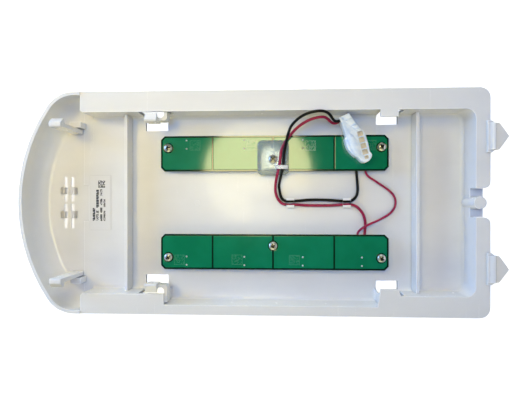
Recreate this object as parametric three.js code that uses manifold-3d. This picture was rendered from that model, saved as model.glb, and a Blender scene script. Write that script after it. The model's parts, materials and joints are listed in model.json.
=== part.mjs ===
// The clip-on cover of a wall battery unit, with its two LED boards and their wiring.
// Millimetres, +Z up. The cover lies on its front face (z = 0) with its open back up.
// The origin is the centre of the footprint; +X points to the square end, -X to the bowed end.
import * as THREE from 'three';
import { mergeVertices } from 'three/addons/utils/BufferGeometryUtils.js';
import Module from 'manifold-3d';

const wasm = await Module();
wasm.setup();

// ---- Driving dimensions -------------------------------------------------------------------

const GAP = 0.3;               // air left between two pieces that touch
const CURVE = 7;               // segments per curve of an outline
const CUT_X = [-170, 170];     // a cutting box this wide and deep reaches past the whole cover
const CUT_Y = [-85, 85];
const CUT_Z = [-1, 40];
const THROUGH = [-1, 10];       // a cutter over this height opens the floor
const DEEP = [0, 20];          // a cutter over this height opens a board or the plate on it
const PAST = 1;                // solids to be joined, and cutters, run this far past a face
const INTO = 0.5;              // or this far, where the wall behind is thin

// Cover outline: straight sides, square end at the right, bowed end at the left
const HALF_W = 73.0;
const SQUARE_X = 147.4;
const SQUARE_R = 6.5;
const BOW_R = 112;
const BOW_X = -45.8;           // centre of the bow
const BOW_END_X = -80;         // the bowed part is drawn to here, then cut at the flange
const SHOULDER_R = 22;         // blends the bow into the sides
const RIM_W = 2.3;
const RIM_Z = 23;              // at the bowed end; elsewhere the edge is level with the flange
const SKIRT_Z = 15;            // lower edge of the lip under the flange

// Flange and the recess inside it
const FLANGE_Z = 22;
const FLANGE_T = 2;
const FLANGE_INSET = 0.6;      // the flange is joined to the lip this far inside its face
const FLANGE_X = -116.4;       // the flange's left end, over the bowed compartment
const RECESS_Y = 59.5;
const RECESS_X = 138.3;
const RECESS_R = 6;
const RECESS_FLOOR_R = 2.5;    // fillet between the recess's walls and its floor
const MOUTH_X = -114.8;        // the recess widens from here to the flange's left end
const MOUTH_Y = 60.8;
const STEP_Y = 66.5;           // the lower wall steps out between these two ends
const STEP_X = [-61, 79.5];
const WALL = 2;

// Floor
const FLOOR_Z = 2.6;
const BOW_FLOOR_Z = 2;
const COVE_R = 14.5;           // concave wall inside the bowed end
const COVE_UNDER = 1.2;        // its lowest line would lie this far under the floor, so they meet at a crease
const FRONT_R = 9;             // rounded front edge at the bowed end
const EDGE_R = 3;              // rounded front edge elsewhere
const FLOOR_STEP_X = -122.9;   // the bowed floor is a little deeper, up to this line
const FLOOR_NOTCH = { x: -119.4, y: 12.7 };

// Ribs across the recess
const RIB_Z = 13.5;
const LEFT_RIB = [-89.7, -88.0];
const RIGHT_RIB = [104.0, 105.8];

const EJECTOR = { x: -42.4, r: 2.1, proud: 0.25 };

// Windows through the floor, mirrored about the centre line
const HOOK_WINDOW = { x: [-78.6, -62.9], y: [50.1, 63.5], under: 0.1 };
const CATCH_WINDOW = { x: [80.3, 94.7], y: [53.2, 66] };
const CATCH_LEDGE = { x: [79.0, 90.2], y: 55.1, slantX: [77, 94.7] };

// Badge slots and the badge on the front
const SLOT_X = [[-137.1, -135.0], [-132.1, -130.1]];
const SLOT_Y = [1.05, 18];
const BADGE = { x: [-146, -121.5], y: 23, z: 1, t: 0.6, corner: 3 };
const BADGE_LEG = { t: 1.3, y: [5.9, 10.8], top: 5, barb: 2.6, barbT: 0.8, root: 0.2 };

// Right end
const NOTCH = { x: 142, y: 9.3, r: 3.5 };
const POST = { x: 140.9, r: 4, z: [3.5, 22.6] };
const SADDLE = { x: [137, 143], y: 9.3, z: 12.8 };  // the end wall is lower beside the post
const SHELF = { x: [RECESS_X + 1, 146.8], y: 9.3, t: 2 };  // and a shelf runs out from it
const TAB_Y = 41.6;
const TAB = { halfW: 8.4, shoulder: 151.7, tip: 157.8, z: [22.6, 24.4], rootZ: [19, 23.9], flare: 1.6 };
const TAB_STRIP = [             // X and Z round the ramped strip across each tab
  [144.7, 21.5], [149.7, 21.5], [149.7, 24.7], [149, 25.6],
  [148.1, 25.6], [146.9, 25.1], [145.6, 24.1], [144.7, 22.8],
];

// Boards, mirrored about the centre line
const BOARD = { x: [-66.6, 87.6], y: [21.4, 45.5], z: [6, 7.6], corner: 2.6 };
const END_SCREW = { x: [-61.4, 82.7], y: 37.25 };
const MID_SCREW = { x: 10.2, y: 29.2 };
const BOSS_R = 3.6;
const BOSS_DRAFT = 0.4;
const BOSS_ROOT = 0.8;         // how far the bosses run into the floor
const SCREW = { headR: 2.8, headH: 2.0, shankR: 1.35, hole: 1.7, tipZ: 3.4, arm: 1.5, slot: 0.35 };
const LED_X = [-48.9, -9.3, 30.3, 69.9];
const LED = { x: LED_X, y: 39.6, size: 5, z: [4.7, 5.7], corner: 0.5, rim: 0.9, well: 0.4 };
const LENS = { x: [-55.4, 76.4], y: 39.2, halfW: 5.2, lip: 1.6, lipZ: 1.4, frontZ: 0.2, proud: 0.3 };
const HEADER = { x: [63.4, 76], y: [22.6, 28.6], z: [2.9, 5.7] };

// Clear retainer over the upper board, with the tie that holds the leads
const RETAINER = { x: [-0.3, 20.8], y: [18.6, 42.1], z: [7.9, 9.9], corner: 3 };
const RING = { r: 3.6, topR: 3.2, z: 10.9 };
const TIE = { x: [11.9, 20.2], y: [22.4, 25.0], z: [10.2, 13.6], t: 0.9 };

// Floor clips for the two leads
const CLIP_X = [[19.2, 24.6], [57.4, 62.7]];
const CLIP = { y: 3.3, t: 0.8, z: [2.9, 6.6], foot: 0.35, nose: 0.9 };

// Tall snap hooks at the bowed end
const TALL = { x: [-131, -123.2], y: 48, t: 3, z: 34, flat: 3.2, barb: 5.8, barbZ: 28.6 };
const TALL_STOP = { x: [-128.8, -121.3], y: [51.5, 55.4], z: 11 };

// Side snap hooks over the hook windows
const SIDE = {
  root: 65.3, rootX: [-61.4, -59.2], armY: [54.0, 55.9], armZ: [12, 19.6], headX: [-72.6, -64.8],
};
const SIDE_HEAD = { y: [52.6, 56], footZ: 15, topZ: 26, slopeY: 53.7, tipY: 58.3, tipZ: [22.9, 23.6] };
const SIDE_POCKET = { x: [-66, -55.2], y: 50, deeper: 3 };
const SIDE_ROOM = { armX: [-62.95, -56.9], headX: [-76.5, -62.9], y: [52, 62.2] };

// Cords
const LEAD_D = 1.9;
const JUMPER_D = 1.5;

// Plug on the two leads: a housing turned about its rear upper corner
const PLUG = { corner: [53.6, 55.8], turn: -65.2, length: 32, depth: 10.8, z: [7.9, 16.9], chamfer: 1.2 };
const PLUG_STEP = { length: 9, depth: 7 };
const WAY = { count: 7, pitch: 4.2, first: 1.9, size: 3.1, rows: [10.3, 14.5], back: 2, wireR: 1.25 };
const TOP_OPENING = [5.2, 9.4];  // open tops of the wide ways, behind their mating faces
const CONTACT = { end: 6.4, wall: 0.5, closed: 0.9 };

// Label
const LABEL = { x: [-118.4, -103.5], y: [-19, 19], z: [2.65, 2.9] };

// ---- Materials ------------------------------------------------------------------------------

function material(color, roughness, metalness = 0) {
  return () => new THREE.MeshStandardMaterial({ color, roughness, metalness });
}

const coverWhite = material(0xe4e1db, 0.3);
const boardGreen = material(0x17734a, 0.35);
const steel = material(0xb9bcc0, 0.25, 1);
const ledYellow = material(0xe8d36a, 0.4);
const clear = material(0xdfe6e6, 0.1);
const nylon = material(0xe9eff4, 0.4);
const brass = material(0xc9a24d, 0.3, 1);
const black = material(0x121214, 0.5);
const red = material(0x9c1c2c, 0.5);
const paper = material(0xf2f0ec, 0.7);
const grey = material(0xb7b8b8, 0.45);

// ---- Solid helpers --------------------------------------------------------------------------

const group = new THREE.Group();

function toManifold(geometry) {
  geometry.deleteAttribute('normal');
  geometry.deleteAttribute('uv');
  const merged = mergeVertices(geometry, 1e-4);
  return new wasm.Manifold(new wasm.Mesh({
    numProp: 3,
    vertProperties: new Float32Array(merged.attributes.position.array),
    triVerts: new Uint32Array(merged.index.array),
  }));
}

function toGeometry(manifold) {
  const result = manifold.getMesh();
  const geometry = new THREE.BufferGeometry();
  geometry.setAttribute('position', new THREE.BufferAttribute(new Float32Array(result.vertProperties), 3));
  geometry.setIndex(new THREE.BufferAttribute(new Uint32Array(result.triVerts), 1));
  geometry.computeVertexNormals();
  return geometry;
}

function addNode(name, manifold, makeMaterial) {
  const mesh = new THREE.Mesh(toGeometry(manifold), makeMaterial());
  mesh.name = name;
  group.add(mesh);
  return mesh;
}

const box = (x, y, z) => {
  const geometry = new THREE.BoxGeometry(x[1] - x[0], y[1] - y[0], z[1] - z[0]);
  geometry.translate((x[0] + x[1]) / 2, (y[0] + y[1]) / 2, (z[0] + z[1]) / 2);
  return toManifold(geometry);
};

const cylinder = (x, y, r, z, sides = 20, topR = r) => {
  const geometry = new THREE.CylinderGeometry(topR, r, z[1] - z[0], sides);
  geometry.rotateX(Math.PI / 2);
  geometry.translate(x, y, (z[0] + z[1]) / 2);
  return toManifold(geometry);
};

function extrude(shape, z, curveSegments = CURVE) {
  const options = { depth: z[1] - z[0], bevelEnabled: false, curveSegments };
  return toManifold(new THREE.ExtrudeGeometry(shape, options).translate(0, 0, z[0]));
}

// An extrusion whose lower edge is rounded to radius r, cut off flat at the top.
function bowl(shape, z, r, segments = 4) {
  const options = {
    depth: z[1] - z[0],
    bevelEnabled: true,
    bevelThickness: r,
    bevelSize: r,
    bevelOffset: -r,
    bevelSegments: segments,
    curveSegments: CURVE,
  };
  const body = toManifold(new THREE.ExtrudeGeometry(shape, options).translate(0, 0, z[0] + r));
  return body.subtract(box(CUT_X, CUT_Y, [z[1], z[1] + 2 * r + 1]));
}

function polygon(points) {
  return new THREE.Shape(points.map(([x, y]) => new THREE.Vector2(x, y)));
}

// A profile drawn in Y-Z, extruded along X.
function alongX(points, x) {
  const geometry = new THREE.ExtrudeGeometry(polygon(points), { depth: x[1] - x[0], bevelEnabled: false });
  geometry.rotateY(Math.PI / 2);
  geometry.rotateX(Math.PI / 2);
  geometry.translate(x[0], 0, 0);
  return toManifold(geometry);
}

// A profile drawn in X-Z, extruded along Y.
function alongY(points, y) {
  const geometry = new THREE.ExtrudeGeometry(polygon(points), { depth: y[1] - y[0], bevelEnabled: false });
  geometry.rotateX(Math.PI / 2);
  geometry.translate(0, y[1], 0);
  return toManifold(geometry);
}

// A copy of a solid, placed by a matrix; a mirrored copy has its triangles turned round again.
function moved(manifold, matrix) {
  const geometry = toGeometry(manifold).applyMatrix4(matrix);
  if (matrix.determinant() < 0) geometry.index.array.reverse();
  return toManifold(geometry);
}

const shifted = (manifold, x, y, z) => moved(manifold, new THREE.Matrix4().makeTranslation(x, y, z));
const mirrorY = (manifold) => moved(manifold, new THREE.Matrix4().makeScale(1, -1, 1));
const bothSides = (manifold) => manifold.add(mirrorY(manifold));
const sum = (parts) => parts.reduce((all, part) => all.add(part));

// A rectangle with its four corners cut at 45 degrees.
function chamfered(x, y, c) {
  return polygon([
    [x[0] + c, y[0]], [x[1] - c, y[0]], [x[1], y[0] + c], [x[1], y[1] - c],
    [x[1] - c, y[1]], [x[0] + c, y[1]], [x[0], y[1] - c], [x[0], y[0] + c],
  ]);
}

// A tube with a round section along a smooth curve through the points.
function tube(points, diameter, steps) {
  const section = new THREE.Shape();
  section.absarc(0, 0, diameter / 2, 0, Math.PI * 2, false);
  const path = new THREE.CatmullRomCurve3(points.map((p) => new THREE.Vector3(...p)), false, 'centripetal');
  return toManifold(new THREE.ExtrudeGeometry(section, { steps, extrudePath: path, curveSegments: 4 }));
}

// ---- Cover ----------------------------------------------------------------------------------

// The two shoulder arcs and the bow between them, drawn from the upper side to the lower one.
function addBow(shape, inset) {
  const turn = Math.PI - Math.asin((HALF_W - SHOULDER_R) / (BOW_R - SHOULDER_R));
  const shoulderX = BOW_X + (BOW_R - SHOULDER_R) * Math.cos(turn);
  const shoulderY = HALF_W - SHOULDER_R;
  shape.absarc(shoulderX, shoulderY, SHOULDER_R - inset, Math.PI / 2, turn, false);
  shape.absarc(BOW_X, 0, BOW_R - inset, turn, 2 * Math.PI - turn, false);
  shape.absarc(shoulderX, -shoulderY, SHOULDER_R - inset, 2 * Math.PI - turn, 1.5 * Math.PI, false);
}

// The bowed end, closed by a straight edge at endX; inset moves the outline inwards.
function bowOutline(inset, endX) {
  const shape = new THREE.Shape();
  shape.moveTo(endX, -HALF_W + inset);
  shape.lineTo(endX, HALF_W - inset);
  addBow(shape, inset);
  return shape;
}

// The whole cover in plan.
function coverPlan(inset, z) {
  const edge = HALF_W - inset;
  const end = SQUARE_X - inset;
  const r = SQUARE_R - inset;
  const shape = new THREE.Shape();
  shape.moveTo(end - r, -edge);
  shape.absarc(end - r, -edge + r, r, -Math.PI / 2, 0, false);
  shape.absarc(end - r, edge - r, r, 0, Math.PI / 2, false);
  addBow(shape, inset);
  return extrude(shape, z);
}

// The recess between the flange's inner edges; grow moves the outline outwards.
function recessOutline(grow, startX) {
  const side = RECESS_Y + grow;
  const end = RECESS_X + grow;
  const r = RECESS_R + grow;
  const shape = new THREE.Shape();
  shape.moveTo(startX, -MOUTH_Y - grow);
  shape.lineTo(FLANGE_X, -MOUTH_Y - grow);
  shape.lineTo(MOUTH_X, -side);
  shape.lineTo(STEP_X[0] - grow, -side);
  shape.lineTo(STEP_X[0] - grow, -STEP_Y - grow);
  shape.lineTo(STEP_X[1] + grow, -STEP_Y - grow);
  shape.lineTo(STEP_X[1] + grow, -side);
  shape.lineTo(end - r, -side);
  shape.absarc(end - r, -side + r, r, -Math.PI / 2, 0, false);
  shape.absarc(end - r, side - r, r, 0, Math.PI / 2, false);
  shape.lineTo(MOUTH_X, side);
  shape.lineTo(FLANGE_X, MOUTH_Y + grow);
  shape.lineTo(startX, MOUTH_Y + grow);
  return shape;
}

function outerBody() {
  const clip = box([CUT_X[0], FLANGE_X + WALL], CUT_Y, CUT_Z);
  const bowedEnd = bowl(bowOutline(0, BOW_END_X), [0, SKIRT_Z + PAST], FRONT_R, 5).intersect(clip);
  const raisedFront = bowl(recessOutline(WALL, FLANGE_X - 6), [0, FLANGE_Z - PAST], EDGE_R, 3);
  const flange = coverPlan(FLANGE_INSET, [FLANGE_Z - FLANGE_T, FLANGE_Z]);
  const lip = coverPlan(0, [SKIRT_Z, RIM_Z])
    .subtract(coverPlan(RIM_W, [SKIRT_Z - PAST, RIM_Z + PAST]))
    .subtract(box([FLANGE_X, CUT_X[1]], CUT_Y, [FLANGE_Z, CUT_Z[1]]));
  const pocketZ = [SIDE.armZ[0] - SIDE_POCKET.deeper, FLANGE_Z - PAST];
  const hookPocket = box(SIDE_POCKET.x, [SIDE_POCKET.y, SIDE.root + GAP + WALL], pocketZ);
  return sum([bowedEnd, raisedFront, flange, lip, bothSides(hookPocket)]);
}

function hollow() {
  const clip = box([CUT_X[0], FLANGE_X], CUT_Y, [BOW_FLOOR_Z, CUT_Z[1]]);
  const bowedEnd = bowl(bowOutline(RIM_W, BOW_END_X), [BOW_FLOOR_Z - COVE_UNDER, CUT_Z[1]], COVE_R, 8)
    .intersect(clip);
  const { x: notchX, y: notchY } = FLOOR_NOTCH;
  const shelf = bowl(bowOutline(RIM_W - INTO, BOW_END_X), [BOW_FLOOR_Z - PAST, FLOOR_Z], PAST, 1)
    .intersect(box([FLOOR_STEP_X, FLANGE_X + PAST], CUT_Y, CUT_Z))
    .subtract(box([CUT_X[0], notchX], [-notchY, notchY], CUT_Z));
  const recessPlan = recessOutline(0, FLANGE_X - 2 * RECESS_FLOOR_R);
  const recess = bowl(recessPlan, [FLOOR_Z, CUT_Z[1]], RECESS_FLOOR_R, 4);
  return bowedEnd.subtract(shelf).add(recess);
}

function ribs() {
  const y = [-RECESS_Y - PAST, RECESS_Y + PAST];
  const z = [FLOOR_Z - PAST, RIB_Z];
  return box(LEFT_RIB, y, z).add(box(RIGHT_RIB, y, z));
}

function bosses() {
  const z = [FLOOR_Z - BOSS_ROOT, BOARD.z[0] - GAP];
  const places = [[MID_SCREW.x, MID_SCREW.y], ...END_SCREW.x.map((x) => [x, END_SCREW.y])];
  const posts = sum(places.map(([x, y]) => cylinder(x, y, BOSS_R + BOSS_DRAFT, z, 20, BOSS_R)));
  const holes = sum(places.map(([x, y]) => cylinder(x, y, SCREW.hole, [SCREW.tipZ - GAP, THROUGH[1]], 14)));
  return { posts: bothSides(posts), holes: bothSides(holes) };
}

function tabs() {
  const stripA = TAB_STRIP[0][0];
  const stripB = TAB_STRIP[2][0];
  const w = TAB.halfW;
  const flared = w + TAB.flare;
  const rootX = SQUARE_X + GAP;
  const arrow = extrude(polygon([
    [stripA, -w], [TAB.shoulder, -w], [TAB.tip, 0], [TAB.shoulder, w], [stripA, w],
  ]), TAB.z);
  const root = extrude(polygon([
    [stripA, -flared], [rootX, -flared], [stripB - GAP, -w],
    [stripB - GAP, w], [rootX, flared], [stripA, flared],
  ]), TAB.rootZ);
  const strip = alongY(TAB_STRIP, [-w, w]);
  return bothSides(shifted(sum([arrow, root, strip]), 0, TAB_Y, 0));
}

function notch() {
  const shape = new THREE.Shape();
  const { x, y, r } = NOTCH;
  const out = SQUARE_X + 5;
  shape.moveTo(x, -y);
  shape.lineTo(SQUARE_X - r, -y);
  shape.absarc(SQUARE_X - r, -y - r, r, Math.PI / 2, 0, true);
  shape.lineTo(out, -y - r);
  shape.lineTo(out, y + r);
  shape.lineTo(SQUARE_X, y + r);
  shape.absarc(SQUARE_X - r, y + r, r, 0, -Math.PI / 2, true);
  shape.lineTo(x, y);
  return extrude(shape, CUT_Z);
}

function windows() {
  const hookFloor = box(HOOK_WINDOW.x, HOOK_WINDOW.y, [-1, FLANGE_Z - FLANGE_T - HOOK_WINDOW.under]);
  const roomZ = [SIDE.armZ[0] - PAST, FLANGE_Z - FLANGE_T];
  const hookArm = box(SIDE_ROOM.armX, [SIDE_ROOM.y[0], SIDE.root + GAP], roomZ);
  const hookHead = box(SIDE_ROOM.headX, SIDE_ROOM.y, roomZ);
  const catchFloor = box(CATCH_WINDOW.x, CATCH_WINDOW.y, [-1, FLANGE_Z - FLANGE_T]);
  return bothSides(sum([hookFloor, hookArm, hookHead, catchFloor]));
}

function catchLedges() {
  const { x, y, slantX } = CATCH_LEDGE;
  const z = [FLANGE_Z - FLANGE_T, FLANGE_Z];
  const upper = box(x, [y, RECESS_Y + PAST], z);
  const foot = -STEP_Y - PAST;
  const lower = extrude(polygon([[slantX[0], foot], [slantX[1], foot], [x[1], -y], [x[0], -y]]), z);
  return upper.add(lower);
}

function lensOpenings() {
  const { x, y, halfW, lip, lipZ } = LENS;
  const light = box(x, [y - halfW, y + halfW], THROUGH);
  const seat = box([x[0] - lip, x[1] + lip], [y - halfW - lip, y + halfW + lip], [lipZ, THROUGH[1]]);
  return bothSides(light.add(seat));
}

function badgeSlots() {
  const slots = SLOT_X.map((x) => box(x, SLOT_Y, THROUGH));
  const edge = BADGE.y + GAP;
  const seat = box([BADGE.x[0] - GAP, BADGE.x[1] + GAP], [-edge, edge], [THROUGH[0], BADGE.z]);
  return bothSides(sum(slots)).add(seat);
}

function addCover() {
  const { posts, holes } = bosses();
  const post = cylinder(POST.x, 0, POST.r, POST.z, 24);
  const shelf = box(SHELF.x, [-SHELF.y, SHELF.y], [SADDLE.z - SHELF.t, SADDLE.z]);
  const stops = bothSides(box(TALL_STOP.x, TALL_STOP.y, [BOW_FLOOR_Z - PAST, TALL_STOP.z]));
  const ejectorMark = cylinder(EJECTOR.x, 0, EJECTOR.r, [FLOOR_Z - INTO, FLOOR_Z + EJECTOR.proud], 20);
  const cover = outerBody()
    .subtract(hollow())
    .subtract(notch())
    .subtract(box(SADDLE.x, [-SADDLE.y, SADDLE.y], [SADDLE.z, CUT_Z[1]]))
    .add(sum([ribs(), posts, tabs(), post, shelf, stops, ejectorMark]))
    .subtract(windows())
    .add(catchLedges())
    .subtract(sum([holes, lensOpenings(), badgeSlots()]));
  addNode('cover_shell', cover, coverWhite);
}

// ---- Snap hooks -----------------------------------------------------------------------------

function tallHook() {
  const { x, y, t, z, flat, barb, barbZ } = TALL;
  return alongX([
    [y, BOW_FLOOR_Z + GAP], [y, z - 0.6], [y + 0.6, z], [y + flat, z], [y + barb, z - 3],
    [y + barb, barbZ + 0.9], [y + t, barbZ], [y + t, BOW_FLOOR_Z + GAP],
  ], x);
}

function sideHook() {
  const { root, rootX, armY, armZ, headX } = SIDE;
  const { y, footZ, topZ, slopeY, tipY, tipZ } = SIDE_HEAD;
  const arm = extrude(polygon([
    [rootX[1], root], [rootX[0], root], [rootX[0], armY[1] + 1.4], [rootX[0] - 1.4, armY[1]],
    [headX[0] + 0.6, armY[1]], [headX[0] + 0.6, armY[0]], [rootX[1] - 2, armY[0]],
    [rootX[1] - 0.6, armY[0] + 0.6], [rootX[1], armY[0] + 2],
  ]), armZ);
  const head = alongX([
    [y[0], footZ], [y[0], topZ - 0.8], [y[0] + 0.8, topZ], [slopeY, topZ],
    [tipY, tipZ[1]], [tipY, tipZ[0]], [y[1], tipZ[0] - 0.8], [y[1], footZ],
  ], headX);
  return arm.add(head);
}

function addHooks() {
  addNode('tall_hook_upper', tallHook(), coverWhite);
  addNode('tall_hook_lower', mirrorY(tallHook()), coverWhite);
  addNode('side_hook_upper', sideHook(), coverWhite);
  addNode('side_hook_lower', mirrorY(sideHook()), coverWhite);
}

// ---- Boards, LEDs, lenses, screws -----------------------------------------------------------

function board() {
  const plate = extrude(chamfered(BOARD.x, BOARD.y, BOARD.corner), BOARD.z);
  const places = [[MID_SCREW.x, MID_SCREW.y], ...END_SCREW.x.map((x) => [x, END_SCREW.y])];
  return plate.subtract(sum(places.map(([x, y]) => cylinder(x, y, SCREW.hole, DEEP, 16))));
}

function led(x) {
  const half = LED.size / 2;
  const body = extrude(chamfered([x - half, x + half], [LED.y - half, LED.y + half], LED.corner), LED.z);
  return body.subtract(cylinder(x, LED.y, half - LED.rim, [LED.z[0] - PAST, LED.z[0] + LED.well], 12));
}

function lens() {
  const { x, y, halfW, lip, lipZ, frontZ, proud } = LENS;
  const inX = [x[0] + GAP, x[1] - GAP];
  const boss = box(inX, [y - halfW + GAP, y + halfW - GAP], [frontZ, FLOOR_Z]);
  const flange = box(
    [x[0] - lip + GAP, x[1] + lip - GAP],
    [y - halfW - lip + GAP, y + halfW + lip - GAP],
    [lipZ + GAP, FLOOR_Z + proud],
  );
  return boss.add(flange);
}

// The corners of a screw's tip and head are shares of its radius and height.
function screw(x, y, seatZ) {
  const { headR, headH, shankR, tipZ } = SCREW;
  const profile = [
    [0, tipZ], [0.5, tipZ], [shankR, tipZ + 1.2], [shankR, seatZ], [headR, seatZ],
    [headR, seatZ + headH * 0.45], [headR * 0.8, seatZ + headH * 0.85],
    [headR * 0.45, seatZ + headH], [0, seatZ + headH],
  ];
  const geometry = new THREE.LatheGeometry(profile.map(([r, z]) => new THREE.Vector2(r, z)), 16);
  geometry.rotateX(Math.PI / 2);
  geometry.translate(x, y, 0);
  const { arm, slot } = SCREW;
  const z = [seatZ + headH * 0.35, seatZ + 2 * headH];
  const across = box([x - arm, x + arm], [y - slot, y + slot], z);
  const along = box([x - slot, x + slot], [y - arm, y + arm], z);
  return toManifold(geometry).subtract(across.add(along));
}

function addBoards() {
  const seatZ = BOARD.z[1] + GAP;
  const header = box(HEADER.x, HEADER.y, HEADER.z);
  const sides = [
    { side: 'upper', flip: (part) => part, sign: 1, midSeatZ: RING.z + GAP },
    { side: 'lower', flip: mirrorY, sign: -1, midSeatZ: seatZ },
  ];
  for (const { side, flip, sign, midSeatZ } of sides) {
    addNode(`led_board_${side}`, flip(board()), boardGreen);
    addNode(`lens_strip_${side}`, flip(lens()), clear);
    addNode(`wire_header_${side}`, flip(header), nylon);
    LED.x.forEach((x, i) => addNode(`led_${side}_${i + 1}`, flip(led(x)), ledYellow));
    addNode(`screw_${side}_left`, screw(END_SCREW.x[0], sign * END_SCREW.y, seatZ), steel);
    addNode(`screw_${side}_mid`, screw(MID_SCREW.x, sign * MID_SCREW.y, midSeatZ), steel);
    addNode(`screw_${side}_right`, screw(END_SCREW.x[1], sign * END_SCREW.y, seatZ), steel);
  }
}

// ---- Retainer, tie and floor clips ----------------------------------------------------------

function addRetainer() {
  const { x, y, z, corner } = RETAINER;
  const plate = extrude(chamfered(x, y, corner), z);
  const ring = cylinder(MID_SCREW.x, MID_SCREW.y, RING.r, [z[0], RING.z], 24, RING.topR);
  const hole = cylinder(MID_SCREW.x, MID_SCREW.y, SCREW.hole, DEEP, 16);
  addNode('board_retainer', plate.add(ring).subtract(hole), clear);

  const { x: tieX, y: tieY, z: tieZ, t } = TIE;
  const inside = box([tieX[0] + t, tieX[1] - t], [tieY[0] - PAST, tieY[1] + PAST], [0, tieZ[1] - t]);
  addNode('lead_tie', box(tieX, tieY, tieZ).subtract(inside), clear);
}

function floorClip(x) {
  const { y, t, z, nose } = CLIP;
  const noseZ = [z[1] - nose, z[1]];
  const foot = box(x, [-y, y], [z[0], z[0] + CLIP.foot]);
  const upperProng = box(x, [y - t, y], z).add(box(x, [y - t - nose, y], noseZ));
  const lowerProng = box(x, [-y, -y + t], z).add(box(x, [-y, -y + t + nose], noseZ));
  return sum([foot, upperProng, lowerProng]);
}

// ---- Leads, jumper and plug -----------------------------------------------------------------

// Each route runs from the board header to its far end.
const BLACK_ROUTE = [
  [66.7, 22.3, 4.3], [66.9, 19, 4.2], [67.4, 14, 3.9], [67.6, 8.4, 3.9], [67, 5.2, 3.9],
  [65.4, 2.8, 4.1], [63.2, 1.4, 4.4], [60.5, 1.1, 4.45], [57, 1.15, 4.45], [50, 1.7, 3.9], [42.2, 2, 3.9],
  [34, 1.9, 3.9], [27.5, 1.3, 4.3], [22, 1.05, 4.45], [19.5, 1.1, 4.45], [17.4, 1.8, 4.3],
  [15.9, 3.4, 4.1], [15.1, 5.6, 3.95], [14.6, 8.4, 4], [14.2, 11.4, 4.9], [14.7, 14.6, 7.8],
  [15.4, 17.5, 10.8], [16.5, 22.4, 11.2], [17.2, 27.1, 11.2], [17.5, 31.8, 11.7], [18.3, 36.3, 13.2],
  [19, 40.2, 14.7], [20.2, 45, 16.5], [22.1, 49.7, 18.2], [24.9, 52.8, 20], [28, 55.1, 21.4],
  [32, 57, 22.8], [37.3, 58.3, 23.3], [41, 58.6, 23.3], [43.7, 58.3, 22.6], [45.8, 57.5, 21.3],
  [47.5, 56.3, 19.6], [49.4, 54.5, 17], [50.4, 53.75, 15.9], [51.5, 53.4, 15.2], [52.8, 53.5, 14.7],
  [54.1, 53.95, 14.5], [55.6, 54.6, 14.5],
];
const RED_ROUTE = [
  [72.2, -22.3, 4.3], [72.5, -19, 4.1], [72.8, -15.7, 3.9], [72.5, -11.7, 3.9], [71.2, -7.7, 3.9],
  [69, -4.6, 3.9], [66.6, -2.5, 4.2], [63.6, -1.4, 4.45], [57.7, -1.25, 4.45], [50, -1.8, 3.9],
  [42.2, -1.9, 3.9], [33, -1.8, 3.9], [25.5, -1.3, 4.45], [19.5, -1.35, 4.45], [16.3, -0.4, 4.1],
  [13.3, 2.9, 3.9], [11.9, 7.1, 4], [11.8, 11.2, 4.9], [12.1, 13.9, 7.7], [12.6, 16.6, 10.3],
  [13.1, 19.2, 11.3], [13.9, 22.4, 11.3], [14.7, 26.6, 11.2], [15.2, 31, 11.2],
  [16.2, 36.3, 11.2], [18.4, 40.6, 11.7],
  [21.8, 44.9, 13.6], [25.4, 48.6, 15.4], [29.5, 51.6, 16.9], [34.4, 54, 18], [39.5, 55.4, 18.4],
  [43.7, 55.8, 17.4], [46.2, 54.9, 15.4], [48.2, 53.6, 13], [50.3, 52.9, 11.2], [52.3, 53.1, 10.4],
  [54.1, 53.95, 10.3], [55.6, 54.6, 10.3],
];
const JUMPER_ROUTE = [
  [72.8, 22.3, 4.3], [73, 20.6, 4.2], [74, 18.7, 4], [76.1, 16.9, 3.8], [79.3, 14.9, 3.7],
  [82.6, 12.6, 3.7], [86, 10.3, 3.7], [89.2, 7.9, 3.7], [91.6, 5.2, 3.7], [93, 1.8, 3.7],
  [92.8, -2.2, 3.7], [90.8, -5.8, 3.7], [88, -8.3, 3.7], [84.5, -10.4, 3.9], [80.5, -12.3, 4.7],
  [76.5, -13.9, 5.8], [72.9, -15.6, 6.2], [70, -17.6, 5.6], [68.1, -19.6, 4.6], [67.1, -22.3, 4.3],
];

function addCords() {
  addNode('black_lead', tube(BLACK_ROUTE, LEAD_D, 48), black);
  addNode('red_lead', tube(RED_ROUTE, LEAD_D, 48), red);
  addNode('red_jumper', tube(JUMPER_ROUTE, JUMPER_D, 24), red);
}

// The plug is drawn with its rear upper corner at the origin: +X along its row, +Y to its mating side.
function placePlug(manifold) {
  const matrix = new THREE.Matrix4().makeRotationZ(THREE.MathUtils.degToRad(PLUG.turn));
  return moved(manifold, matrix.setPosition(PLUG.corner[0], PLUG.corner[1], 0));
}

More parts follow.
